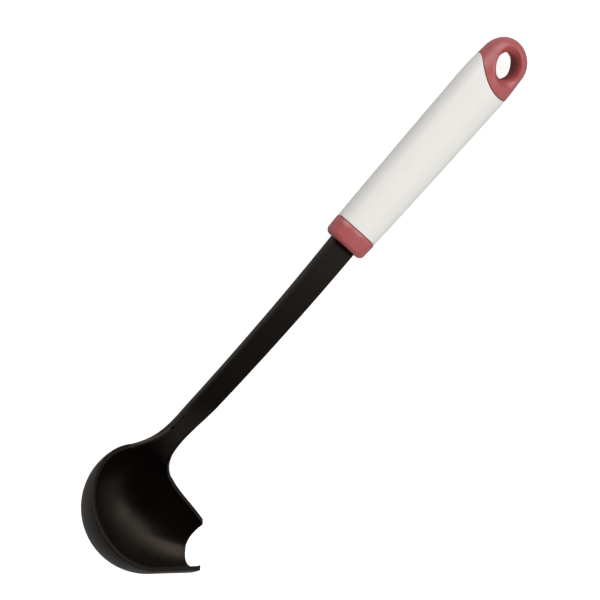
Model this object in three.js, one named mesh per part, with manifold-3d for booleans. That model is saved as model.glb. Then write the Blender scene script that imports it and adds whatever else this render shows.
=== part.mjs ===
// Sauce ladle: a one-piece nylon head (bowl, side spout, flat shaft and tang), a hollow oval grip
// between a collar and an end cap with a hanging eye, and a steel pin that locks the tang.
// Millimetres. The ladle lies on its back: +X runs from the bowl to the hanging eye, +Z is up, and
// the spout pours toward -Y. X is measured from the collar's lower face until the last lines.
import * as THREE from 'three';
import { mergeVertices } from 'three/addons/utils/BufferGeometryUtils.js';
import Module from 'manifold-3d';

const wasm = await Module();
wasm.setup();

// Driving sizes, bowl
const bowlRadius = 31.5; // outside, over the round part
const bowlWall = 2.2;
const bowlReach = 153.9; // collar's lower face to the bowl's centre
const bowlSide = 6.54; // bowl's centre from the handle's axis, toward the spout
const bowlSink = 1.05; // the bowl sits lower by this much, because its far wall is drawn in
const openingTilt = 47.4; // degrees between the handle and the normal of the bowl's opening
const spoutStart = -51; // where the spout's near wall leaves the round; angles run from -Y toward the neck
const noseReach = 40.8; // bowl's axis to the spout's nose, before the mouth is cut
const noseBlend = 12; // rounding between the near wall and the nose
const mouthReach = 32.1; // bowl's centre to the plane that cuts the spout's mouth
const mouthAngle = 22.6;
const mouthLean = -0.07; // slope of that plane against the opening's normal
const flatReach = 23.7; // bowl's axis to the straight wall between neck and spout
const flatAngle = 70.4;
const flatBlend = 4; // rounding where that wall meets the round and the nose
const flatDrop = 1.9; // the rim drops by this much there
const dropAngle = 64;
const dropSpread = 43;

// Driving sizes, shaft and tang
const neckRightAngle = 80.7; // part of the rim that runs up into the shaft
const neckLeftAngle = 134;
const neckRise = 1.1; // the rim rises by this much toward the neck's far side
const neckRiseAngle = 116;
const neckRiseSpread = 27;
const neckTopRight = 96.6; // below the collar's lower face, where the flare has become the plain bar
const neckTopLeft = 101.3;
const shaftWidthLow = 11.4;
const shaftWidthHigh = 13.3;
const shaftThickLow = 6.0;
const shaftThickHigh = 7.4;
const shaftBow = 2.7; // the shaft arches forward by this much
const shaftBowSpan = 105.7; // over this much of its length
const shaftSquareness = 4; // exponent of the bar's rounded section
const shaftCorner = 14; // degrees of that section, at each edge, left to the flat side face
const shaftEntry = 4.2; // plain shaft inside the collar
const flareLeave = 15.2; // how long the flare follows the wall, and then the bar
const flareArrive = 14.7;
const flareHollow = 0.6; // the flare's middle turns away from the wall by this share sooner than its edges
const flareDrawRight = 1.65; // how strongly the flare's two edges lean toward each other
const flareDrawLeft = 1.13;
const tangLength = 45.3; // beyond the collar's lower face
const tangWidth = 8.6;
const tangThick = 4.0;

// Driving sizes, grip, collar, cap and pin
const gripWidthLow = 21.8;
const gripWidthHigh = 26.4;
const gripFlatness = 0.8; // thickness over width
const gripRoundness = 2.3; // exponent of the oval section
const gripSwell = 0.65; // exponent of the growth from the collar to the end
const gripWall = 2.0;
const collarLength = 9.7;
const collarProud = 0.15; // the collar stands this much above the grip
const collarEdge = 2.6; // rounding of the collar's lower edge
const collarSpigot = 24; // length inside the grip
const endCentre = 115.6; // collar's lower face to the middle of the round end
const endRadius = 12.2; // half the end's width
const endLength = 13.2;
const endSkew = 1; // the end's tip lies this much off the axis, away from the spout
const endTaper = 16; // half the length over which the grip narrows to the round end
const endCrown = 2.6; // exponents of the round end, seen from the side
const endCrownRoot = 2.2;
const eyeCentre = 115.7; // collar's lower face to the middle of the hanging eye
const eyeSide = 0.9; // middle of the eye from the handle's axis, toward the spout
const eyeHalfLength = 6.8; // eye at its waist
const eyeHalfWidth = 5.6;
const eyeLean = 32; // degrees between the eye's length and the handle
const eyeFlareLong = 3.6; // how far the eye's edges open, along it and across it
const eyeFlareWide = 2.4;
const eyeFlareShare = 0.5; // of the half depth
const eyeFlareCurve = 1.1; // exponent of the flare along the eye; across it, the flare is a round
const bandCentre = 117.4; // oval line around the eye, where the end cap meets the grip
const bandSide = 0.8;
const bandLong = 18.2;
const bandShort = 13.3;
const bandLean = 47.4;
const capSpigot = 20;
const spigotWall = 2.2;
const pinRadius = 1.5;
const pinInset = 10.6; // pin, beyond the collar's shoulder
const clearance = 0.3; // between any two pieces
const overcut = 1; // how far a cutting body runs past the face that it cuts

const radians = THREE.MathUtils.degToRad;
const lerp = THREE.MathUtils.lerp;
const bandLow = bandCentre - bandLong;
const pinPlace = collarLength + pinInset;
const axisHeight = gripWidthHigh * gripFlatness / 2;

// Solids: three.js geometry in and out of the boolean kernel
function solid(geometry) {
  const bare = geometry.clone();
  bare.deleteAttribute('normal');
  bare.deleteAttribute('uv');
  const welded = mergeVertices(bare, 1e-4);
  const vertProperties = new Float32Array(welded.attributes.position.array);
  const triVerts = new Uint32Array(welded.index.array);
  return new wasm.Manifold(new wasm.Mesh({ numProp: 3, vertProperties, triVerts }));
}

function geometryOf(body) {
  const mesh = body.getMesh();
  const geometry = new THREE.BufferGeometry();
  geometry.setAttribute('position', new THREE.BufferAttribute(new Float32Array(mesh.vertProperties), 3));
  geometry.setIndex(new THREE.BufferAttribute(new Uint32Array(mesh.triVerts), 1));
  geometry.computeVertexNormals();
  return geometry;
}

function indexed(points, index) {
  const geometry = new THREE.BufferGeometry().setFromPoints(points);
  geometry.setIndex(index);
  return geometry;
}

// A closed body through a row of rings that all have the same number of points
function loft(rings) {
  const count = rings[0].length;
  const points = rings.flat();
  const index = [];
  for (let ring = 0; ring + 1 < rings.length; ring += 1) {
    for (let i = 0; i < count; i += 1) {
      const next = (i + 1) % count;
      const a = ring * count;
      const b = a + count;
      index.push(a + i, a + next, b + next, a + i, b + next, b + i);
    }
  }
  for (const [ring, turn] of [[0, -1], [rings.length - 1, 1]]) {
    const middle = points.length;
    const sum = new THREE.Vector3();
    rings[ring].forEach((point) => sum.add(point));
    points.push(sum.divideScalar(count));
    for (let i = 0; i < count; i += 1) {
      const here = ring * count + i;
      const next = ring * count + (i + 1) % count;
      index.push(...(turn > 0 ? [middle, here, next] : [middle, next, here]));
    }
  }
  return indexed(points, index);
}

const rounded = (value, exponent) => Math.sign(value) * Math.abs(value) ** (2 / exponent);

// An oval ring across the handle
function oval(x, halfWidth, halfThick, exponent = gripRoundness, count = 40) {
  return Array.from({ length: count }, (_, i) => {
    const turn = 2 * Math.PI * i / count;
    const y = halfWidth * rounded(Math.cos(turn), exponent);
    const z = halfThick * rounded(Math.sin(turn), exponent);
    return new THREE.Vector3(x, y, axisHeight + z);
  });
}

// Bowl: a round wall drawn out to a spout, in a frame that leans with the opening
const across = new THREE.Vector3(0, -1, 0);
const toNeck = new THREE.Vector3(Math.sin(radians(openingTilt)), 0, -Math.cos(radians(openingTilt)));
const opening = new THREE.Vector3(Math.cos(radians(openingTilt)), 0, Math.sin(radians(openingTilt)));
const bowlCentre = new THREE.Vector3(-bowlReach, -bowlSide, bowlRadius - bowlSink);

// Degrees from one angle to another, between -180 and 180
const turnFrom = (from, angle) => (angle - from + 540) % 360 - 180;

// A smooth hump, 1 at its centre and 0 beyond its spread (degrees)
function hump(angle, centre, spread) {
  const off = Math.abs(turnFrom(centre, angle)) / spread;
  return off < 1 ? Math.cos(Math.PI / 2 * off) ** 2 : 0;
}

// The smaller value, rounded where the two are close
function softMin(a, b, width) {
  const shared = Math.max(0, 1 - Math.abs(a - b) / width);
  return Math.min(a, b) - shared ** 2 * width / 4;
}

function radial(angle) {
  const turn = radians(angle);
  return across.clone().multiplyScalar(Math.cos(turn)).addScaledVector(toNeck, Math.sin(turn));
}

// Plan of the rim: round, then straight along the spout's walls and its nose
function planReach(angle, inset) {
  const line = (reach, off) => (reach - inset) / Math.cos(radians(THREE.MathUtils.clamp(off, -70, 70)));
  const pastStart = turnFrom(spoutStart, angle);
  const offFlat = turnFrom(flatAngle, angle);
  const round = bowlRadius - inset;
  const far = Math.abs(offFlat) < 70 ? line(flatReach, offFlat) : 2 * round;
  if (pastStart <= 0 || offFlat >= 0) {
    return softMin(round, far, flatBlend);
  }
  const nose = line(noseReach, turnFrom(mouthAngle, angle));
  return softMin(softMin(line(bowlRadius, pastStart), nose, noseBlend), far, flatBlend);
}

// Point on the wall: share runs from the bottom (0) to the rim (1); inset is 0 outside, the wall inside.
// The bottom stays round, whatever the plan of the rim.
function wallPoint(angle, share, inset) {
  const round = bowlRadius - inset;
  const drop = flatDrop * hump(angle, dropAngle, dropSpread);
  const rise = neckRise * hump(angle, neckRiseAngle, neckRiseSpread);
  const turn = share * Math.acos((drop - rise) / round);
  const planShare = (1 - Math.max(0, Math.cos(turn)) ** 4) ** 2;
  const reach = round * Math.sin(turn) + (planReach(angle, inset) - round) * planShare;
  return bowlCentre.clone()
    .addScaledVector(radial(angle), reach)
    .addScaledVector(opening, -round * Math.cos(turn));
}

// Shaft: a flat bar with rounded edges; place runs across it from the spout's side (0) to the other (1)
function barPoint(x, place, face) {
  const low = Math.max(0, -x / neckTopRight);
  const arch = Math.max(0, -x / shaftBowSpan);
  const halfWidth = lerp(shaftWidthHigh, shaftWidthLow, low) / 2;
  const halfThick = lerp(shaftThickHigh, shaftThickLow, low) / 2;
  const turn = radians(lerp(shaftCorner, 180 - shaftCorner, place));
  const y = -halfWidth * rounded(Math.cos(turn), shaftSquareness);
  const z = face * halfThick * rounded(Math.sin(turn), shaftSquareness);
  return new THREE.Vector3(x, y, axisHeight + 4 * shaftBow * arch * (1 - arch) + z);
}

// How steeply the bar's arch rises toward the collar
const barSlope = (x) => 4 * shaftBow / shaftBowSpan * (-2 * x / shaftBowSpan - 1);

const flareTop = (place) => -lerp(neckTopRight, neckTopLeft, place);

// Flare: each line across the neck leaves the rim along the wall and turns into the bar, along its slope
function flarePoint(angle, place, share, face) {
  const start = wallPoint(angle, 1, face > 0 ? bowlWall : 0);
  const top = flareTop(place);
  const end = barPoint(top, place, face);
  const inward = radial(angle + 90).multiplyScalar(lerp(flareDrawRight, -flareDrawLeft, place));
  const leave = opening.clone().add(inward).normalize();
  const curve = new THREE.CubicBezierCurve3(
    start,
    start.clone().addScaledVector(leave, flareLeave * (1 - flareHollow * Math.sin(Math.PI * place))),
    end.clone().addScaledVector(new THREE.Vector3(1, 0, barSlope(top)), -flareArrive),
    end,
  );
  return curve.getPoint(share);
}

// Head: inside and outside surfaces with the same net, joined along the rim and the shaft's edges
function headShell() {
  const neckColumns = 10;
  const rimColumns = 60;
  const rings = 12;
  const flareRows = 9;
  const barRows = 12;
  const angles = [];
  for (let i = 0; i < neckColumns; i += 1) {
    angles.push(lerp(neckRightAngle, neckLeftAngle, i / (neckColumns - 1)));
  }
  for (let i = 1; i < rimColumns; i += 1) {
    angles.push(lerp(neckLeftAngle, neckRightAngle + 360, i / rimColumns));
  }
  const points = [];
  const sides = [1, -1].map((face) => {
    const first = points.length;
    const inset = face > 0 ? bowlWall : 0;
    points.push(wallPoint(0, 0, inset));
    for (let ring = 1; ring <= rings; ring += 1) {
      angles.forEach((angle) => points.push(wallPoint(angle, ring / rings, inset)));
    }
    for (let row = 1; row <= flareRows + barRows; row += 1) {
      for (let i = 0; i < neckColumns; i += 1) {
        const place = i / (neckColumns - 1);
        const x = lerp(flareTop(place), shaftEntry, (row - flareRows) / barRows);
        const onFlare = row <= flareRows;
        points.push(onFlare ? flarePoint(angles[i], place, row / flareRows, face) : barPoint(x, place, face));
      }
    }
    const rim = (i) => first + 1 + (rings - 1) * angles.length + i % angles.length;
    const stripFirst = first + 1 + rings * angles.length;
    const strip = (i, row) => (row === 0 ? rim(i) : stripFirst + (row - 1) * neckColumns + i);
    return { first, face, rim, strip };
  });
  const index = [];
  const quad = (face, a, b, c, d) => index.push(...(face > 0 ? [a, b, c, a, c, d] : [a, c, b, a, d, c]));
  const rows = flareRows + barRows;
  for (const { first, face, strip } of sides) {
    const net = (i, ring) => first + 1 + (ring - 1) * angles.length + i % angles.length;
    for (let i = 0; i < angles.length; i += 1) {
      index.push(...(face > 0 ? [first, net(i, 1), net(i + 1, 1)] : [first, net(i + 1, 1), net(i, 1)]));
      for (let ring = 1; ring < rings; ring += 1) {
        quad(face, net(i, ring), net(i, ring + 1), net(i + 1, ring + 1), net(i + 1, ring));
      }
    }
    for (let i = 0; i + 1 < neckColumns; i += 1) {
      for (let row = 0; row < rows; row += 1) {
        quad(face, strip(i, row), strip(i, row + 1), strip(i + 1, row + 1), strip(i + 1, row));
      }
    }
  }
  const [inside, outside] = sides;
  const edge = (from, to) => {
    index.push(to(inside), from(inside), from(outside));
    index.push(to(inside), from(outside), to(outside));
  };
  for (let i = neckColumns - 1; i < angles.length; i += 1) {
    edge((side) => side.rim(i), (side) => side.rim(i + 1));
  }
  for (let row = 0; row < rows; row += 1) {
    edge((side) => side.strip(0, row), (side) => side.strip(0, row + 1));
    edge((side) => side.strip(neckColumns - 1, row + 1), (side) => side.strip(neckColumns - 1, row));
  }
  for (let i = 0; i + 1 < neckColumns; i += 1) {
    edge((side) => side.strip(i, rows), (side) => side.strip(i + 1, rows));
  }
  return indexed(points, index);
}

// A round bar across the handle, for the pin and its holes
function crossBar(radius, length) {
  return new THREE.CylinderGeometry(radius, radius, length, 32).rotateX(Math.PI / 2)
    .translate(pinPlace, 0, axisHeight);
}

function makeHead() {
  const size = 3 * bowlRadius;
  const mouth = new THREE.BoxGeometry(size, size, size).translate(size / 2, 0, 0)
    .rotateY(Math.atan(mouthLean)).translate(mouthReach, 0, 0);
  const pour = radial(mouthAngle);
  const frame = new THREE.Matrix4().makeBasis(pour, radial(mouthAngle + 90), opening);
  frame.setPosition(bowlCentre);
  const tang = new THREE.BoxGeometry(tangLength, tangWidth, tangThick)
    .translate(tangLength / 2, 0, axisHeight);
  return solid(headShell())
    .subtract(solid(mouth.applyMatrix4(frame)))
    .add(solid(tang))
    .subtract(solid(crossBar(pinRadius + clearance, gripWidthHigh)));
}

// Grip: the oval grows from the collar to the cap
function gripHalfWidth(x) {
  const along = THREE.MathUtils.clamp(x / endCentre, 0, 1) ** gripSwell;
  const grown = lerp(gripWidthLow, gripWidthHigh, along) / 2;
  const taper = THREE.MathUtils.smoothstep(x, endCentre - endTaper, endCentre + endTaper);
  return lerp(grown, 2 * endRadius - gripWidthHigh / 2, taper);
}

function gripRings(from, to, inset, count = 9) {
  return Array.from({ length: count }, (_, i) => {
    const x = lerp(from, to, i / (count - 1));
    const half = gripHalfWidth(x);
    return oval(x, half - inset, half * gripFlatness - inset);
  });
}

// Band line: an upright oval tube around the eye that parts the end cap from the white grip
function bandTube(grow) {
  const height = 2 * gripWidthHigh;
  return new THREE.CylinderGeometry(1, 1, height, 64).rotateX(Math.PI / 2)
    .scale(bandLong + grow, bandShort + grow, 1)
    .rotateZ(radians(bandLean)).translate(bandCentre, -bandSide, axisHeight);
}

function beyondEye(grow) {
  const size = 2 * gripWidthHigh;
  return new THREE.BoxGeometry(size, size, size).translate(endCentre + size / 2 - grow, 0, axisHeight);
}

function makeSleeve() {
  const from = collarLength + clearance;
  const to = endCentre - clearance;
  return solid(loft(gripRings(from, to, 0)))
    .subtract(solid(loft(gripRings(from - overcut, to + overcut, gripWall))))
    .subtract(solid(bandTube(clearance)).add(solid(beyondEye(clearance))));
}

function makeCollar() {
  const steps = 5;
  const rings = Array.from({ length: steps + 1 }, (_, i) => {
    const turn = Math.PI / 2 * i / steps;
    const x = collarEdge * (1 - Math.cos(turn));
    const inset = collarEdge * (1 - Math.sin(turn)) - collarProud;
    return oval(x, gripHalfWidth(x) - inset, gripHalfWidth(x) * gripFlatness - inset);
  });
  const body = solid(loft([...rings, ...gripRings(collarLength / 2, collarLength, -collarProud, 3)]));
  const spigotTo = collarLength + collarSpigot;
  const spigot = solid(loft(gripRings(collarLength - overcut, spigotTo, gripWall + clearance, 5)));
  const pocket = [-overcut, shaftEntry + clearance].map((x) => oval(
    x,
    shaftWidthHigh / 2 + clearance,
    shaftThickHigh / 2 + clearance,
    shaftSquareness,
  ));
  const slotLength = spigotTo + overcut;
  const tangSlot = new THREE.BoxGeometry(slotLength, tangWidth + 2 * clearance, tangThick + 2 * clearance)
    .translate(slotLength / 2, 0, axisHeight);
  return body.add(spigot)
    .subtract(solid(loft(pocket)))
    .subtract(solid(tangSlot))
    .subtract(solid(crossBar(pinRadius + clearance, gripWidthHigh)));
}

// End cap: round end, eye that opens toward both faces, and a hollow spigot inside the grip
function endRings() {
  const steps = 14;
  return Array.from({ length: steps }, (_, i) => {
    const along = Math.sin(Math.PI / 2 * i / (steps - 0.6));
    const halfWidth = endRadius * Math.sqrt(1 - along ** 2);
    const halfThick = endRadius * gripFlatness * (1 - along ** endCrown) ** (1 / endCrownRoot);
    const ring = oval(endCentre + endLength * along, halfWidth, halfThick);
    return ring.map((point) => point.setY(point.y + endSkew * along ** 2));
  });
}

// The eye's cutter: straight through the middle of the depth, opening out toward both faces
function eyeCutter() {
  const steps = 6;
  const depth = endRadius * gripFlatness;
  const levels = [];
  for (let i = 0; i <= steps; i += 1) {
    const share = i / steps;
    levels.push({
      height: depth * (1 - eyeFlareShare * (1 - share)),
      halfLength: eyeHalfLength + eyeFlareLong * share ** eyeFlareCurve,
      halfWidth: eyeHalfWidth + eyeFlareWide * (1 - Math.sqrt(1 - share ** 2)),
    });
  }
  levels.push({ ...levels[steps], height: depth + 3 * overcut });
  const both = [...levels.map((level) => ({ ...level, height: -level.height })).reverse(), ...levels];
  const rings = both.map(({ height, halfLength, halfWidth }) => Array.from({ length: 48 }, (_, i) => {
    const turn = 2 * Math.PI * i / 48;
    return new THREE.Vector3(halfLength * Math.cos(turn), halfWidth * Math.sin(turn), height);
  }));
  return loft(rings).rotateZ(radians(eyeLean)).translate(eyeCentre, -eyeSide, axisHeight);
}

function makeCap() {
  const outer = solid(loft([...gripRings(bandLow - overcut, endCentre - overcut, 0), ...endRings()]));
  const crown = outer.intersect(solid(bandTube(0)).add(solid(beyondEye(0))));
  const plugTo = eyeCentre - eyeHalfWidth;
  const plugFrom = bandLow - capSpigot;
  const inset = gripWall + clearance;
  const plug = solid(loft(gripRings(plugFrom, plugTo, inset)))
    .subtract(solid(loft(gripRings(plugFrom - overcut, bandLow, inset + spigotWall, 5))));
  return crown.add(plug).subtract(solid(eyeCutter()));
}

function makePin() {
  const length = 2 * (gripHalfWidth(pinPlace) * gripFlatness - gripWall - clearance);
  return solid(crossBar(pinRadius, length));
}

// Assembly
const finishes = {
  nylon: { color: 0x1f1a19, roughness: 0.5 },
  whitePlastic: { color: 0xe8e6e0, roughness: 0.35 },
  rosePlastic: { color: 0xa85f5c, roughness: 0.45 },
  steel: { color: 0xb8bcc0, roughness: 0.3, metalness: 1 },
};

function piece(name, body, finish) {
  const mesh = new THREE.Mesh(geometryOf(body), new THREE.MeshStandardMaterial(finishes[finish]));
  mesh.name = name;
  return mesh;
}

const ladle = new THREE.Group();
ladle.name = 'sauce_ladle';
ladle.add(
  piece('ladle_head', makeHead(), 'nylon'),
  piece('collar', makeCollar(), 'rosePlastic'),
  piece('grip_sleeve', makeSleeve(), 'whitePlastic'),
  piece('end_cap', makeCap(), 'rosePlastic'),
  piece('tang_pin', makePin(), 'steel'),
);
const box = new THREE.Box3().setFromObject(ladle);
const middle = box.getCenter(new THREE.Vector3());
ladle.position.set(-middle.x, -middle.y, -box.min.z);

export default ladle;
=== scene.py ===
import math

import bmesh
import bpy
from mathutils import Matrix, Vector


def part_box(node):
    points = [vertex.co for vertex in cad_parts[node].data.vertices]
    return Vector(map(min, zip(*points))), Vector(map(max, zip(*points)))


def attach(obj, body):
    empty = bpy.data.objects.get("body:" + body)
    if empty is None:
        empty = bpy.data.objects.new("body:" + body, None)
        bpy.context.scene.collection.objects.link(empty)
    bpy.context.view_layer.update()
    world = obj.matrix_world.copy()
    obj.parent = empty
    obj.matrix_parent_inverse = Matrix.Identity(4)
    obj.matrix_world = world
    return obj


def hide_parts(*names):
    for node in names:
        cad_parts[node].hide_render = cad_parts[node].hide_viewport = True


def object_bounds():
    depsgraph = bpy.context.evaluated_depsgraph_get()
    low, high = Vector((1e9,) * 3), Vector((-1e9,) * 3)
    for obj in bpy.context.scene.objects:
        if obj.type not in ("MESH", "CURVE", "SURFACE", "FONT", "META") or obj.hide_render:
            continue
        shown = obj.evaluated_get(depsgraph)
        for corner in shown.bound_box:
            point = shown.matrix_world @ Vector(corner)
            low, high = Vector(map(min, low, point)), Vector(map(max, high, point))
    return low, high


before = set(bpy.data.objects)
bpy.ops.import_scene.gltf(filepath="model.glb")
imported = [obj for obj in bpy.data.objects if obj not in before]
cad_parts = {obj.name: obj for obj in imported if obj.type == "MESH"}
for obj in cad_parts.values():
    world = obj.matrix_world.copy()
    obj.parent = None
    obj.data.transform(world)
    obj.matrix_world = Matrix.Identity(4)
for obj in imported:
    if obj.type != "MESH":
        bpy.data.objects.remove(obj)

cad_low, cad_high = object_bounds()

# Ladle head
# One injection moulding in dark nylon: a round bowl drawn out to a pouring spout, a neck, a flat shaft
# and a tang. The tang is plugged into the collar, and a cross pin holds it there.
bowl_radius = 0.0315
bowl_wall = 0.0022
bowl_reach = 0.1539  # collar's lower face to the bowl's centre
bowl_side = 0.00654  # bowl's centre from the handle's axis, toward the spout
bowl_lift = 0.01989  # bowl's centre above the handle's axis
opening_tilt = math.radians(47.4)
spout_middle = 0  # degrees around the bowl, from straight sideways toward the neck, as those below
spout_spread = 60  # the mouth's ends lie within this to both sides of the spout's middle
spout_start = -51  # where the spout's near wall leaves the round, straight
nose_reach = 0.0408  # bowl's axis to the spout's nose, before the mouth is cut
nose_blend = 0.012
mouth_reach = 0.0321  # bowl's axis to the plane that cuts the mouth
mouth_angle = 22.6
mouth_lean = -0.07
mouth_lowest = 20  # degrees from the bowl's bottom that the mouth doesn't reach
flat_reach = 0.0237  # bowl's axis to the straight wall between neck and spout
flat_angle = 70.4
flat_blend = 0.004
straight_limit = 70  # degrees from its middle where a straight wall ends
flat_drop = 0.0019  # how far the rim drops between neck and spout
drop_angle = 64
drop_spread = 43
neck_right = 80.7  # the neck leaves the rim between these two angles
neck_left = 134
neck_rise = 0.0011  # how far the rim rises at the neck
neck_rise_angle = 116
neck_rise_spread = 27
neck_top_right = 0.0966  # collar's lower face to the neck's upper end, on its two sides
neck_top_left = 0.1013
shaft_width = (0.0131, 0.0112)  # at the collar and at the neck
shaft_thick = (0.0074, 0.0060)
shaft_bow = 0.0027
shaft_bow_span = 0.1057
shaft_entry = 0.0042  # how far the shaft goes into the collar
flare_leave = 0.0152  # how far the flare follows the wall, and then the shaft
flare_arrive = 0.0147
flare_hollow = 0.6  # the flare's middle turns away from the wall by this share sooner than its edges
flare_draw_right = 1.65  # how strongly its two edges lean in toward each other
flare_draw_left = 1.13
edge_round = 0.0005
front_edge_round = 0.0013  # on the shaft's front edges
front_edge_start = 0.3  # share of that round at the rim; it grows to the whole along the neck
tang_length = 0.0453  # from the collar's lower face
tang_width = 0.0086
tang_thick = 0.0040

collar_low, collar_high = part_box("collar")
grip_low, grip_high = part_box("grip_sleeve")
handle = Vector((collar_low.x, (grip_low.y + grip_high.y) / 2, (collar_low.z + collar_high.z) / 2))
bowl_centre = handle + Vector((-bowl_reach, -bowl_side, bowl_lift))
across = Vector((0, -1, 0))
to_neck = Vector((math.sin(opening_tilt), 0, -math.cos(opening_tilt)))
opening = Vector((math.cos(opening_tilt), 0, math.sin(opening_tilt)))


def lerp(a, b, share):
    return a + (b - a) * share


def turn_from(start, angle):
    """Degrees from one angle to another, between -180 and 180."""
    return (angle - start + 540) % 360 - 180


def hump(angle, centre, spread):
    """Smooth hump: 1 at its centre and 0 beyond its spread, in degrees."""
    off = abs(turn_from(centre, angle)) / spread
    return math.cos(math.pi / 2 * off) ** 2 if off < 1 else 0


def soft_min(a, b, width):
    """The smaller value, rounded where the two are close."""
    shared = max(0, 1 - abs(a - b) / width)
    return min(a, b) - shared**2 * width / 4


def radial(angle):
    """Direction in the opening's plane, from straight sideways toward the neck."""
    turn = math.radians(angle)
    return across * math.cos(turn) + to_neck * math.sin(turn)


def plan_reach(angle, inset):
    """Rim's distance from the bowl's axis: round, then straight along the spout's walls and its nose."""

    def straight_wall(reach, off):
        return (reach - inset) / math.cos(math.radians(min(straight_limit, max(-straight_limit, off))))

    past_start = turn_from(spout_start, angle)
    off_flat = turn_from(flat_angle, angle)
    near = bowl_radius - inset
    far = straight_wall(flat_reach, off_flat) if abs(off_flat) < straight_limit else 2 * near
    if past_start > 0 > off_flat:
        nose = straight_wall(nose_reach, turn_from(mouth_angle, angle))
        near = soft_min(straight_wall(bowl_radius, past_start), nose, nose_blend)
    return soft_min(near, far, flat_blend)


def wall_radius(angle, turn, inset):
    """Wall's distance from the bowl's axis; the bottom stays round, whatever the rim's plan."""
    radius = bowl_radius - inset
    share = (1 - max(0, math.cos(turn)) ** 4) ** 2
    return radius * math.sin(turn) + (plan_reach(angle, inset) - radius) * share


def rim_turn(angle, inset):
    """Turn from the bowl's bottom up to the rim."""
    drop = flat_drop * hump(angle, drop_angle, drop_spread)
    rise = neck_rise * hump(angle, neck_rise_angle, neck_rise_spread)
    return math.acos((drop - rise) / (bowl_radius - inset))


def past_mouth(angle, turn, inset):
    """How far the wall stands beyond the plane that cuts the spout's mouth."""
    depth = (bowl_radius - inset) * math.cos(turn)
    away = wall_radius(angle, turn, inset) * math.cos(math.radians(angle - mouth_angle))
    return away + mouth_lean * depth - mouth_reach


def crossing(inside, outside, excess):
    """Searches between two values for the place where an excess drops to zero."""
    for _ in range(40):
        middle = (inside + outside) / 2
        if excess(middle) > 0:
            inside = middle
        else:
            outside = middle
    return inside


def mouth_corner(outside, inset):
    """Angle where the mouth's plane leaves the rim."""
    return crossing(spout_middle, outside, lambda angle: past_mouth(angle, rim_turn(angle, inset), inset))


def wall_point(angle, share, inset):
    """Point on the wall, from the bottom (share 0) to the rim or the mouth's edge (share 1)."""
    limit = rim_turn(angle, inset)
    if past_mouth(angle, limit, inset) > 0:
        limit = crossing(limit, math.radians(mouth_lowest), lambda turn: past_mouth(angle, turn, inset))
    turn = share * limit
    depth = (bowl_radius - inset) * math.cos(turn)
    return bowl_centre + radial(angle) * wall_radius(angle, turn, inset) - opening * depth


def bar_point(x, place, face):
    """Point on the shaft's front (face 1) or back, from the spout's side (place 0) to the other."""
    low = max(0, -x / neck_top_right)
    arch = max(0, -x / shaft_bow_span)
    y = -lerp(*shaft_width, low) / 2 * (1 - 2 * place)
    z = face * lerp(*shaft_thick, low) / 2
    return handle + Vector((x, y, 4 * shaft_bow * arch * (1 - arch) + z))


def bar_slope(x):
    """How steeply the shaft's arch rises toward the collar."""
    return 4 * shaft_bow / shaft_bow_span * (-2 * x / shaft_bow_span - 1)


def flare_top(place):
    """Where the neck ends on the shaft."""
    return -lerp(neck_top_right, neck_top_left, place)


def flare_point(angle, place, share, face):
    """Point on a line that leaves the rim along the wall and turns into the shaft, along its slope."""
    start = wall_point(angle, 1, bowl_wall if face > 0 else 0)
    top = flare_top(place)
    end = bar_point(top, place, face)
    inward = radial(angle + 90) * lerp(flare_draw_right, -flare_draw_left, place)
    leave = (opening + inward).normalized()
    first = start + leave * flare_leave * (1 - flare_hollow * math.sin(math.pi * place))
    second = end - Vector((1, 0, bar_slope(top))) * flare_arrive
    low, high = start.lerp(first, share), first.lerp(second, share)
    last = second.lerp(end, share)
    return low.lerp(high, share).lerp(high.lerp(last, share), share)


def quads(net, rows, closed):
    """Faces between rows of vertices; a closed row's last vertex joins its first."""
    for lower, upper in zip(rows, rows[1:]):
        count = len(lower)
        for i in range(count if closed else count - 1):
            j = (i + 1) % count
            net.faces.new((lower[i], lower[j], upper[j], upper[i]))


def fan(net, ring, point):
    """Faces from a ring to one point, which closes it."""
    tip = net.verts.new(point)
    for i, here in enumerate(ring):
        net.faces.new((here, ring[(i + 1) % len(ring)], tip))


neck_columns = 25
edge_column = 0.125  # share of the neck's width in each outer column, so that its edges can be rounded
stretch_columns = (90, 26, 30)  # neck round to the mouth, the mouth, mouth to neck
wall_rows = 40
flare_rows = 26
bar_rows = 40


def head_sheet(net, inset, face):
    """Inside (face 1) or outside surface of the moulding: returns its rim and its rows up the shaft."""
    near = mouth_corner(spout_middle - spout_spread, inset) + 360
    far = mouth_corner(spout_middle + spout_spread, inset) + 360
    turns = [neck_left, near, far, neck_right + 360]
    places = [lerp(edge_column, 1 - edge_column, i / (neck_columns - 3)) for i in range(neck_columns - 2)]
    places = [0, *places, 1]
    angles = [lerp(neck_right, neck_left, place) for place in places[:-1]]
    for start, end, count in zip(turns, turns[1:], stretch_columns):
        angles += [lerp(start, end, i / count) for i in range(count)]
    wall = []
    for row in range(1, wall_rows + 1):
        wall.append([net.verts.new(wall_point(angle, row / wall_rows, inset)) for angle in angles])
    fan(net, wall[0], wall_point(0, 0, inset))
    quads(net, wall, closed=True)
    rim = wall[-1]
    strip = [rim[:neck_columns]]
    for row in range(1, flare_rows + bar_rows + 1):
        line = []
        for place, angle in zip(places, angles):
            if row <= flare_rows:
                point = flare_point(angle, place, row / flare_rows, face)
            else:
                x = lerp(flare_top(place), shaft_entry, (row - flare_rows) / bar_rows)
                point = bar_point(x, place, face)
            line.append(net.verts.new(point))
        strip.append(line)
    quads(net, strip, closed=False)
    return rim, strip


def box_between(net, low, high):
    """A closed box between two corners."""
    size = high - low
    place = Matrix.Translation((low + high) / 2) @ Matrix.Diagonal((*size, 1))
    bmesh.ops.create_cube(net, size=1, matrix=place)


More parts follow.
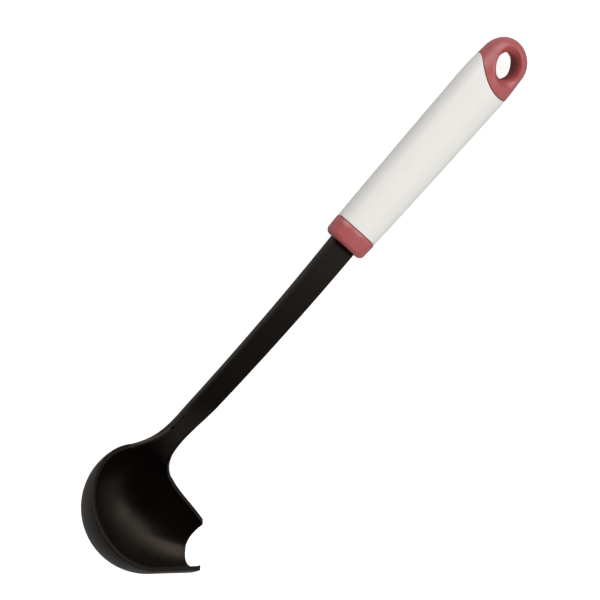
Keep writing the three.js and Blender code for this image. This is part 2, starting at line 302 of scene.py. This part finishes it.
def add_piece(name, net, bevel=0.0, bevel_angle=40, weighted_bevel=0.0):
    """Turns a net into an object with outward faces, smooth shading and softened sharp edges."""
    bmesh.ops.remove_doubles(net, verts=net.verts, dist=1e-7)
    bmesh.ops.recalc_face_normals(net, faces=net.faces)
    mesh = bpy.data.meshes.new(name)
    net.to_mesh(mesh)
    net.free()
    piece = bpy.data.objects.new(name, mesh)
    bpy.context.scene.collection.objects.link(piece)
    if weighted_bevel:
        round_edges(piece, "WEIGHT", weighted_bevel, 5)
    if bevel:
        round_edges(piece, "ANGLE", bevel, 3, bevel_angle)
    piece.data.shade_smooth()
    return piece


def round_edges(piece, limit, width, segments, angle=40):
    """Rounds the edges that carry a bevel weight, or those sharper than an angle."""
    soften = piece.modifiers.new("soften", "BEVEL")
    soften.limit_method = limit
    soften.width = width
    soften.segments = segments
    soften.angle_limit = math.radians(angle)
    soften.use_clamp_overlap = False
    apply_modifiers(piece)


def apply_modifiers(piece):
    """Keeps the evaluated mesh and drops the modifiers."""
    bpy.context.view_layer.update()
    evaluated = piece.evaluated_get(bpy.context.evaluated_depsgraph_get())
    finished = bpy.data.meshes.new_from_object(evaluated)
    piece.modifiers.clear()
    piece.data = finished


head_net = bmesh.new()
inner_rim, inner_strip = head_sheet(head_net, bowl_wall, 1)
outer_rim, outer_strip = head_sheet(head_net, 0, -1)
lip = slice(neck_columns - 1, None)
quads(head_net, [inner_rim[lip] + inner_rim[:1], outer_rim[lip] + outer_rim[:1]], closed=False)
for side in (0, -1):
    quads(head_net, [[row[side] for row in inner_strip], [row[side] for row in outer_strip]], closed=False)
quads(head_net, [inner_strip[-1], outer_strip[-1]], closed=False)
weight = head_net.edges.layers.float.new("bevel_weight_edge")
for side in (0, -1):
    front_line = [row[side] for row in inner_strip]
    for row, pair in enumerate(zip(front_line, front_line[1:])):
        head_net.edges.get(pair)[weight] = min(1, front_edge_start + row / flare_rows)
tang_half = Vector((0, tang_width / 2, tang_thick / 2))
tang_start = handle + Vector((shaft_entry, 0, 0))
tang_end = handle + Vector((tang_length, 0, 0))
box_between(head_net, tang_start - tang_half, tang_end + tang_half)
head = add_piece("ladle_head_moulding", head_net, edge_round, weighted_bevel=front_edge_round)


def moulded_skin():
    """Skin of moulded plastic: broad mottling for the colour and fine grain for gloss and relief."""
    group = bpy.data.node_groups.new("moulded_skin", "ShaderNodeTree")
    for name in ("Mottle Scale", "Grain Scale"):
        group.interface.new_socket(name, in_out="INPUT", socket_type="NodeSocketFloat")
    for name in ("Mottle", "Grain"):
        group.interface.new_socket(name, in_out="OUTPUT", socket_type="NodeSocketFloat")
    entry = group.nodes.new("NodeGroupInput")
    leave = group.nodes.new("NodeGroupOutput")
    place = group.nodes.new("ShaderNodeTexCoord")
    for name, detail in (("Mottle", 3), ("Grain", 2)):
        noise = group.nodes.new("ShaderNodeTexNoise")
        noise.inputs["Detail"].default_value = detail
        group.links.new(place.outputs["Object"], noise.inputs["Vector"])
        group.links.new(entry.outputs[name + " Scale"], noise.inputs["Scale"])
        group.links.new(noise.outputs["Fac"], leave.inputs[name])
    return group


plastic_skin = moulded_skin()


def moulded_plastic(name, dark, light, gloss, grain_depth, scales, shine=0.5, tint=(1, 1, 1)):
    """Plastic between two colours, with a roughness range and grain of a real depth.

    The scales are those of the mottling and of the grain; the tint colours its mirror images.
    """
    material = bpy.data.materials.new(name)
    material.use_nodes = True
    tree = material.node_tree
    surface = tree.nodes["Principled BSDF"]
    skin = tree.nodes.new("ShaderNodeGroup")
    skin.node_tree = plastic_skin
    skin.inputs["Mottle Scale"].default_value = scales[0]
    skin.inputs["Grain Scale"].default_value = scales[1]
    colour = tree.nodes.new("ShaderNodeMix")
    colour.data_type = "RGBA"
    colour.inputs["A"].default_value = (*dark, 1)
    colour.inputs["B"].default_value = (*light, 1)
    sheen = tree.nodes.new("ShaderNodeMapRange")
    sheen.inputs["To Min"].default_value = gloss[0]
    sheen.inputs["To Max"].default_value = gloss[1]
    relief = tree.nodes.new("ShaderNodeBump")
    relief.inputs["Distance"].default_value = grain_depth
    link = tree.links.new
    link(skin.outputs["Mottle"], colour.inputs["Factor"])
    link(skin.outputs["Grain"], sheen.inputs["Value"])
    link(skin.outputs["Grain"], relief.inputs["Height"])
    link(colour.outputs["Result"], surface.inputs["Base Color"])
    link(sheen.outputs["Result"], surface.inputs["Roughness"])
    link(relief.outputs["Normal"], surface.inputs["Normal"])
    surface.inputs["Specular IOR Level"].default_value = shine
    surface.inputs["Specular Tint"].default_value = (*tint, 1)
    return material


nylon = moulded_plastic(
    "dark_nylon",
    dark=(0.0016, 0.0008, 0.0008),
    light=(0.0026, 0.0013, 0.0012),
    gloss=(0.40, 0.52),
    grain_depth=0.00003,
    scales=(40, 1800),
    shine=0.4,
    tint=(1.0, 0.84, 0.68),
)
head.data.materials.append(nylon)
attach(head, "root")
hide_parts("ladle_head")

# Cross pin
# A plain ground steel pin, pressed across the tang and the collar's spigot before the grip goes on.
# The grip then hides it and keeps it in.
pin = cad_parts["tang_pin"]
ground_steel = bpy.data.materials.new("ground_steel")
ground_steel.use_nodes = True
steel_tree = ground_steel.node_tree
steel_surface = steel_tree.nodes["Principled BSDF"]
steel_surface.inputs["Metallic"].default_value = 1
steel_surface.inputs["Base Color"].default_value = (0.60, 0.60, 0.60, 1)
steel_place = steel_tree.nodes.new("ShaderNodeTexCoord")
steel_turn = steel_tree.nodes.new("ShaderNodeMapping")
steel_turn.inputs["Scale"].default_value = (300, 300, 9000)
grinding = steel_tree.nodes.new("ShaderNodeTexNoise")
grinding.inputs["Scale"].default_value = 1
steel_gloss = steel_tree.nodes.new("ShaderNodeMapRange")
steel_gloss.inputs["To Min"].default_value = 0.22
steel_gloss.inputs["To Max"].default_value = 0.42
steel_tree.links.new(steel_place.outputs["Object"], steel_turn.inputs["Vector"])
steel_tree.links.new(steel_turn.outputs["Vector"], grinding.inputs["Vector"])
steel_tree.links.new(grinding.outputs["Fac"], steel_gloss.inputs["Value"])
steel_tree.links.new(steel_gloss.outputs["Result"], steel_surface.inputs["Roughness"])
pin.data.materials.clear()
pin.data.materials.append(ground_steel)

# Collar
# A rose moulding that closes the grip's lower end. Its front is pocketed for the shaft, and a spigot
# behind the shoulder is bonded into the grip.
grip_width_low = 0.0218
grip_width_high = 0.0264
grip_flatness = 0.8  # thickness over width
grip_roundness = 2.3  # exponent of the oval section; 2 is an ellipse
grip_swell = 0.65
grip_wall = 0.0020
collar_length = 0.0097
collar_proud = 0.00015  # how far it stands out around the grip
collar_edge = 0.0026
collar_shoulder = 0.0002
collar_spigot = 0.024
pocket_squareness = 4
pocket_edge = 0.0002
pin_radius = 0.0015
pin_inset = 0.0106  # shoulder to the pin
clearance = 0.0003
end_centre = 0.1156  # collar's lower face to the middle of the round end
end_radius = 0.0122
end_taper = 0.016  # half the length over which the grip narrows to the round end


def grip_half_width(x):
    """Half the grip's width at a distance from the collar's lower face."""
    along = min(1, max(0, x / end_centre)) ** grip_swell
    grown = lerp(grip_width_low, grip_width_high, along) / 2
    share = min(1, max(0, (x - end_centre + end_taper) / (2 * end_taper)))
    taper = share * share * (3 - 2 * share)
    return lerp(grown, 2 * end_radius - grip_width_high / 2, taper)


def rounded(value, exponent):
    """A power that keeps the value's sign, for an oval section."""
    return math.copysign(abs(value) ** (2 / exponent), value)


def oval_ring(net, x, half_width, half_thick, exponent=grip_roundness, count=96):
    """A ring of vertices across the handle."""
    ring = []
    for i in range(count):
        turn = 2 * math.pi * i / count
        y = half_width * rounded(math.cos(turn), exponent)
        z = half_thick * rounded(math.sin(turn), exponent)
        ring.append(net.verts.new(handle + Vector((x, y, z))))
    return ring


def grip_ring(net, x, inset):
    """A ring on the grip's surface, or this far inside it."""
    half = grip_half_width(x)
    return oval_ring(net, x, half - inset, half * grip_flatness - inset)


def loft(net, rings):
    """A closed body through rings, capped at both ends."""
    quads(net, rings, closed=True)
    for ring in (rings[0], rings[-1]):
        fan(net, ring, sum((vert.co for vert in ring), Vector()) / len(ring))


def cut(piece, cutter_net):
    """Takes a closed net away from a piece."""
    cutter = add_piece("cutter", cutter_net)
    taken = piece.modifiers.new("cut", "BOOLEAN")
    taken.operation = "DIFFERENCE"
    taken.object = cutter
    apply_modifiers(piece)
    bpy.data.objects.remove(cutter)


def pin_hole_net():
    """A round bar across the handle, with clearance around the pin."""
    net = bmesh.new()
    place = Matrix.Translation(handle + Vector((collar_length + pin_inset, 0, 0)))
    bmesh.ops.create_cone(
        net,
        cap_ends=True,
        segments=32,
        radius1=pin_radius + clearance,
        radius2=pin_radius + clearance,
        depth=grip_width_high,
        matrix=place,
    )
    return net


collar_net = bmesh.new()
pocket_half = (shaft_width[0] / 2 + clearance, shaft_thick[0] / 2 + clearance)
pocket_mouth = [half + pocket_edge for half in pocket_half]
pocket_floor = shaft_entry + clearance
collar_rings = []
for x, half in ((pocket_floor, pocket_half), (pocket_edge, pocket_half), (0, pocket_mouth)):
    collar_rings.append(oval_ring(collar_net, x, *half, pocket_squareness))
edge_steps = 12
for step in range(edge_steps + 1):
    turn = math.pi / 2 * step / edge_steps
    edge_x = collar_edge * (1 - math.cos(turn))
    collar_rings.append(grip_ring(collar_net, edge_x, collar_edge * (1 - math.sin(turn)) - collar_proud))
side_places = (0.0045, 0.0070, collar_length - collar_shoulder)
for x in side_places:
    collar_rings.append(grip_ring(collar_net, x, -collar_proud))
collar_rings.append(grip_ring(collar_net, collar_length, collar_shoulder - collar_proud))
for x in (collar_length, collar_length + collar_spigot):
    collar_rings.append(grip_ring(collar_net, x, grip_wall + clearance))
loft(collar_net, collar_rings)
collar = add_piece("collar_moulding", collar_net)
slot_net = bmesh.new()
slot_half = Vector((0, tang_width / 2 + clearance, tang_thick / 2 + clearance))
slot_end = handle + Vector((collar_length + collar_spigot + clearance, 0, 0))
box_between(slot_net, handle + Vector((clearance, 0, 0)) - slot_half, slot_end + slot_half)
cut(collar, slot_net)
cut(collar, pin_hole_net())
cut(head, pin_hole_net())

rose_plastic = moulded_plastic(
    "rose_plastic",
    dark=(0.40, 0.084, 0.084),
    light=(0.44, 0.104, 0.104),
    gloss=(0.30, 0.38),
    grain_depth=0.00002,
    scales=(60, 2500),
    shine=0.65,
)
collar.data.materials.append(rose_plastic)
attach(collar, "root")
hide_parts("collar")

# Grip sleeve
# A hollow off-white moulding of oval section that grows toward the end. It slides over the collar's
# spigot, and its far end is cut along an oval line around the hanging eye, where the end cap meets it.
band_centre = 0.1174  # collar's lower face to the middle of the line's oval
band_side = 0.0008  # centre of the line's oval from the handle's axis, toward the spout
band_long = 0.0182
band_short = 0.0133
band_lean = math.radians(47.4)
handle_edge_round = 0.00025


class Number:
    """A number in a node tree, so that a formula in nodes reads as a formula."""

    def __init__(self, tree, socket):
        self.tree = tree
        self.socket = socket

    def of(self, operation, *others):
        node = self.tree.nodes.new("ShaderNodeMath")
        node.operation = operation
        for slot, value in enumerate((self, *others)):
            if isinstance(value, Number):
                self.tree.links.new(value.socket, node.inputs[slot])
            else:
                node.inputs[slot].default_value = value
        return Number(self.tree, node.outputs[0])

    def __add__(self, other):
        return self.of("ADD", other)

    def __sub__(self, other):
        return self.of("SUBTRACT", other)

    def __mul__(self, other):
        return self.of("MULTIPLY", other)

    def __truediv__(self, other):
        return self.of("DIVIDE", other)

    def __pow__(self, other):
        return self.of("POWER", other)

    def mixed(self, low, high):
        """low where this is 0 and high where it is 1."""
        return (high - low) * self + low


sleeve_sizes = {
    "Start": collar_length + clearance,
    "Width Low": grip_width_low,
    "Width High": grip_width_high,
    "Flatness": grip_flatness,
    "Roundness": grip_roundness,
    "Swell": grip_swell,
    "Wall": grip_wall,
    "End Centre": end_centre,
    "End Radius": end_radius,
    "End Taper": end_taper,
    "Band Centre": band_centre,
    "Band Side": band_side,
    "Band Lean": band_lean,
    "Band Long": band_long + clearance,
    "Band Short": band_short + clearance,
}


def sleeve_tree(material, columns=160, rows=90):
    """Nodes for an oval tube that grows along the handle and ends on the oval line around the eye."""
    tree = bpy.data.node_groups.new("grip_sleeve_shape", "GeometryNodeTree")
    tree.interface.new_socket("Geometry", in_out="OUTPUT", socket_type="NodeSocketGeometry")
    for name in sleeve_sizes:
        tree.interface.new_socket(name, in_out="INPUT", socket_type="NodeSocketFloat")
    add = tree.nodes.new
    link = tree.links.new
    entry = add("NodeGroupInput")
    size = {name: Number(tree, entry.outputs[name]) for name in sleeve_sizes}
    grid = add("GeometryNodeMeshGrid")
    grid.inputs["Vertices X"].default_value = columns + 1
    grid.inputs["Vertices Y"].default_value = rows + 1
    place = add("ShaderNodeSeparateXYZ")
    link(grid.outputs["UV Map"], place.inputs[0])
    turn = Number(tree, place.outputs["X"]) * (2 * math.pi)
    along = Number(tree, place.outputs["Y"])

    def half_width(x):
        grown = ((x / size["End Centre"]) ** size["Swell"]).mixed(size["Width Low"], size["Width High"]) * 0.5
        share = (x - size["End Centre"] + size["End Taper"]) / (size["End Taper"] * 2)
        share = share.of("MAXIMUM", 0).of("MINIMUM", 1)
        taper = share * share * (share * -2 + 3)
        return taper.mixed(grown, size["End Radius"] * 2 - size["Width High"] * 0.5)

    def oval(value):
        return value.of("SIGN") * value.of("ABSOLUTE") ** (size["Roundness"].of("POWER", -1) * 2)

    side = oval(turn.of("COSINE"))
    front = oval(turn.of("SINE"))

    # Where the line around the eye crosses this side of the tube, a root of the oval's equation
    cosine = size["Band Lean"].of("COSINE")
    sine = size["Band Lean"].of("SINE")
    long_part = size["Band Long"] ** -2
    short_part = size["Band Short"] ** -2
    square = cosine * cosine * long_part + sine * sine * short_part
    end = size["Band Centre"] - size["Band Short"]
    for _ in range(3):
        y = half_width(end) * side + size["Band Side"]
        half_linear = y * sine * cosine * (long_part - short_part)
        rest = y * y * (sine * sine * long_part + cosine * cosine * short_part) - 1
        root = (half_linear * half_linear - square * rest).of("MAXIMUM", 0).of("SQRT")
        end = size["Band Centre"] - (half_linear + root) / square

    x = along.mixed(size["Start"], end)
    half = half_width(x)
    join = add("ShaderNodeCombineXYZ")
    link((x + handle.x).socket, join.inputs["X"])
    link((half * side + handle.y).socket, join.inputs["Y"])
    link((half * size["Flatness"] * front + handle.z).socket, join.inputs["Z"])
    shape = add("GeometryNodeSetPosition")
    link(grid.outputs["Mesh"], shape.inputs["Geometry"])
    link(join.outputs[0], shape.inputs["Position"])
    seam = add("GeometryNodeMergeByDistance")
    seam.inputs["Distance"].default_value = 1e-6
    link(shape.outputs[0], seam.inputs["Geometry"])
    wall = add("GeometryNodeExtrudeMesh")
    wall.inputs["Individual"].default_value = False
    link(seam.outputs[0], wall.inputs["Mesh"])
    link((size["Wall"] * -1).socket, wall.inputs["Offset Scale"])
    both = add("GeometryNodeJoinGeometry")
    link(wall.outputs["Mesh"], both.inputs[0])
    link(seam.outputs[0], both.inputs[0])
    closed = add("GeometryNodeMergeByDistance")
    closed.inputs["Distance"].default_value = 1e-6
    link(both.outputs[0], closed.inputs["Geometry"])
    real = add("GeometryNodeRealizeInstances")
    link(closed.outputs[0], real.inputs[0])
    finish = add("GeometryNodeSetMaterial")
    finish.inputs["Material"].default_value = material
    link(real.outputs[0], finish.inputs["Geometry"])
    link(finish.outputs[0], add("NodeGroupOutput").inputs[0])
    return tree


white_plastic = moulded_plastic(
    "off_white_plastic",
    dark=(0.82, 0.805, 0.765),
    light=(0.85, 0.835, 0.795),
    gloss=(0.30, 0.38),
    grain_depth=0.00001,
    scales=(50, 2500),
)
sleeve = bpy.data.objects.new("grip_sleeve_moulding", bpy.data.meshes.new("grip_sleeve_moulding"))
bpy.context.scene.collection.objects.link(sleeve)
sleeve_nodes = sleeve.modifiers.new("shape", "NODES")
sleeve_nodes.node_group = sleeve_tree(white_plastic)
for item in sleeve_nodes.node_group.interface.items_tree:
    if item.in_out == "INPUT":
        sleeve_nodes[item.identifier] = sleeve_sizes[item.name]
apply_modifiers(sleeve)
sleeve_net = bmesh.new()
sleeve_net.from_mesh(sleeve.data)
bpy.data.objects.remove(sleeve)
sleeve = add_piece("grip_sleeve_moulding", sleeve_net, handle_edge_round, bevel_angle=50)
sleeve.data.materials.clear()
sleeve.data.materials.append(white_plastic)
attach(sleeve, "root")
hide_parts("grip_sleeve")

# End cap
# A rose moulding that closes the grip's upper end and holds the slanted hanging eye, which opens out
# toward both faces. A hollow plug behind it is bonded into the grip.
eye_centre = 0.1157  # collar's lower face to the eye's middle
eye_side = 0.0009  # eye's middle from the handle's axis, toward the spout
eye_half_length = 0.0068  # at its waist
eye_half_width = 0.0056
eye_lean = math.radians(32)
eye_flare = (0.0036, 0.0024)  # how far the eye's edges open, along it and across it
eye_flare_share = 0.5  # of the half depth
eye_flare_curve = 1.1  # exponent of the flare along the eye; across it, the flare is a round
end_length = 0.0132
end_skew = 0.0010  # the end's tip lies this much off the axis, away from the spout
end_crown = 2.6  # exponents of the end's outline, seen from the side
end_crown_root = 2.2
cap_plug = 0.020
plug_wall = 0.0022
plug_steps = 8
hollow_steps = 6
opening_half = (eye_half_length + eye_flare[0], eye_half_width + eye_flare[1])


def cap_outline(x):
    """Middle, half width and half thickness of the cap at a distance from the collar's lower face."""
    if x <= end_centre:
        half = grip_half_width(x)
        return 0, half, half * grip_flatness
    along = min(1, (x - end_centre) / end_length)
    half_thick = end_radius * grip_flatness * (1 - along**end_crown) ** (1 / end_crown_root)
    return end_skew * along**2, end_radius * math.sqrt(1 - along**2), half_thick


def eye_place(turn, half_length, half_width):
    """Point in the handle's plane on an oval around the eye."""
    long = half_length * math.cos(turn)
    short = half_width * math.sin(turn)
    x = eye_centre + long * math.cos(eye_lean) - short * math.sin(eye_lean)
    return x, long * math.sin(eye_lean) + short * math.cos(eye_lean) - eye_side


def in_cap(turn, scale):
    """Whether a point in one direction from the eye is still on the cap."""
    x, y = eye_place(turn, scale * opening_half[0], scale * opening_half[1])
    if x >= end_centre + end_length:
        return False
    middle, half_width, _ = cap_outline(x)
    if abs(y - middle) > half_width:
        return False
    ahead, aside = x - band_centre, y + band_side
    long = (ahead * math.cos(band_lean) + aside * math.sin(band_lean)) / band_long
    short = (aside * math.cos(band_lean) - ahead * math.sin(band_lean)) / band_short
    return x > end_centre or long**2 + short**2 < 1


def cap_reach(turn):
    """Scale of the eye's front oval at which this direction leaves the cap."""
    return crossing(1, 5, lambda scale: in_cap(turn, scale))


def cap_height(x, y):
    """Half the cap's thickness at a place in the handle's plane."""
    middle, half_width, half_thick = cap_outline(x)
    off = abs(y - middle) / half_width
    return half_thick * max(0, 1 - off**grip_roundness) ** (1 / grip_roundness)


cap_columns = 240
eye_wall_rows = 6
eye_flare_rows = 12
crown_rows = 22


def cap_sheet(net, face):
    """Front (face 1) or back of the cap, from the eye's waist over its flare to the outline."""
    rows = [[] for _ in range(eye_wall_rows + eye_flare_rows + crown_rows + 1)]
    straight = 1 - eye_flare_share
    for column in range(cap_columns):
        turn = 2 * math.pi * column / cap_columns
        reach = cap_reach(turn)
        for row, line in enumerate(rows):
            past = row - eye_wall_rows
            flare = min(1, max(0, past / eye_flare_rows))
            open_long = flare**eye_flare_curve
            open_wide = 1 - math.sqrt(1 - flare**2)
            scale = lerp(1, reach, math.sin(math.pi / 2 * max(0, past - eye_flare_rows) / crown_rows))
            half_length = scale * (eye_half_length + open_long * eye_flare[0])
            half_width = scale * (eye_half_width + open_wide * eye_flare[1])
            if past <= 0:
                lift = straight * row / eye_wall_rows
            else:
                lift = straight + eye_flare_share * flare
            x, y = eye_place(turn, half_length, half_width)
            line.append(net.verts.new(handle + Vector((x, y, face * lift * cap_height(x, y)))))
    quads(net, rows, closed=True)
    return rows[-1]


cap_net = bmesh.new()
front_edge = cap_sheet(cap_net, 1)
back_edge = cap_sheet(cap_net, -1)
quads(cap_net, [front_edge, back_edge], closed=True)
plug_from = band_centre - band_long - cap_plug
plug_inset = grip_wall + clearance
plug_to = eye_centre - opening_half[0] - plug_wall / 2
hollow_to = band_centre - band_long
plug_rings = []
for step in range(plug_steps + 1):
    x = lerp(plug_to, plug_from, step / plug_steps)
    plug_rings.append(grip_ring(cap_net, x, plug_inset))
for step in range(hollow_steps + 1):
    x = lerp(plug_from, hollow_to, step / hollow_steps)
    plug_rings.append(grip_ring(cap_net, x, plug_inset + plug_wall))
loft(cap_net, plug_rings)
cap = add_piece("end_cap_moulding", cap_net, handle_edge_round, bevel_angle=28)
cap.data.materials.append(rose_plastic)
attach(cap, "root")
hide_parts("end_cap")

# Floor and light
# A plain floor, which is white to the camera apart from the ladle's shadow, and a dim room. Three soft
# lamps show in the plastic: a large one beyond the upper end, one overhead and a weak one on the spout's
# side. An even fill from the bowl's side shows no image of itself.
floor_gap = 0.0002
floor_net = bmesh.new()
bmesh.ops.create_grid(floor_net, x_segments=1, y_segments=1, size=3)
floor_mesh = bpy.data.meshes.new("floor")
floor_net.to_mesh(floor_mesh)
floor_net.free()
floor_mesh.transform(Matrix.Translation((0, 0, cad_low.z - floor_gap)))
floor = bpy.data.objects.new("floor", floor_mesh)
bpy.context.scene.collection.objects.link(floor)
paper = bpy.data.materials.new("white_paper")
paper.use_nodes = True
paper_tree = paper.node_tree
paper_surface = paper_tree.nodes["Principled BSDF"]
paper_surface.inputs["Base Color"].default_value = (0.45, 0.45, 0.45, 1)
paper_surface.inputs["Roughness"].default_value = 0.9
paper_surface.inputs["Specular IOR Level"].default_value = 0.0
paper_surface.inputs["Emission Color"].default_value = (1, 1, 1, 1)
paper_rays = paper_tree.nodes.new("ShaderNodeLightPath")
paper_glow = paper_tree.nodes.new("ShaderNodeMath")
paper_glow.operation = "MULTIPLY"
paper_glow.inputs[1].default_value = 0.88
paper_tree.links.new(paper_rays.outputs["Is Camera Ray"], paper_glow.inputs[0])
paper_tree.links.new(paper_glow.outputs[0], paper_surface.inputs["Emission Strength"])
floor.data.materials.append(paper)


def soft_lamp(name, azimuth, elevation, distance, size, power, glossy=True):
    """A square lamp that faces the ladle's middle, with or without its mirror image in the plastic."""
    light = bpy.data.lights.new(name, "AREA")
    light.shape = "SQUARE"
    light.size = size
    light.energy = power
    lamp = bpy.data.objects.new(name, light)
    turn, rise = math.radians(azimuth), math.radians(elevation)
    way = Vector((math.cos(rise) * math.cos(turn), math.cos(rise) * math.sin(turn), math.sin(rise)))
    lamp.location = way * distance
    lamp.rotation_euler = way.to_track_quat("Z", "Y").to_euler()
    lamp.visible_glossy = glossy
    bpy.context.scene.collection.objects.link(lamp)


soft_lamp("upper_lamp", azimuth=48, elevation=28, distance=1.8, size=1.7, power=25)
soft_lamp("overhead_lamp", azimuth=-20, elevation=52, distance=1.8, size=0.9, power=9)
soft_lamp("spout_side_lamp", azimuth=-70, elevation=24, distance=1.8, size=1.3, power=4)
soft_lamp("even_fill", azimuth=-140, elevation=55, distance=1.8, size=2.0, power=24, glossy=False)
room = bpy.data.worlds.new("room")
room.use_nodes = True
bpy.context.scene.world = room
room_tree = room.node_tree
room_rays = room_tree.nodes.new("ShaderNodeLightPath")
room_level = room_tree.nodes.new("ShaderNodeMapRange")
room_level.inputs["To Min"].default_value = 0.02
room_level.inputs["To Max"].default_value = 1.0
room_light = room_tree.nodes["Background"]
room_light.inputs["Color"].default_value = (1, 1, 1, 1)
room_tree.links.new(room_rays.outputs["Is Camera Ray"], room_level.inputs["Value"])
room_tree.links.new(room_level.outputs["Result"], room_light.inputs["Strength"])
bpy.context.scene.view_settings.view_transform = "Standard"

# Camera
# It looks down on the ladle from the side away from the spout, one metre off, turned so that the handle
# runs from the lower left of the picture to the upper right.
picture_width = 600
half_pixel = 0.5 / picture_width
view_data = bpy.data.cameras.new("camera")
view_data.sensor_width = 36
view_data.lens = 125
view_data.shift_x = -half_pixel
view_data.shift_y = half_pixel
view = bpy.data.objects.new("camera", view_data)
view_right = Vector((0.6596, -0.7149, 0.2319))
view_back = Vector((0, 0.3085, 0.9512))
view_up = view_back.cross(view_right).normalized()
view_right = view_up.cross(view_back)
turned = Matrix((view_right, view_up, view_back)).transposed().to_4x4()
view.matrix_world = Matrix.Translation((-0.00495, 0.31653, 0.96231)) @ turned
bpy.context.scene.collection.objects.link(view)
bpy.context.scene.camera = view
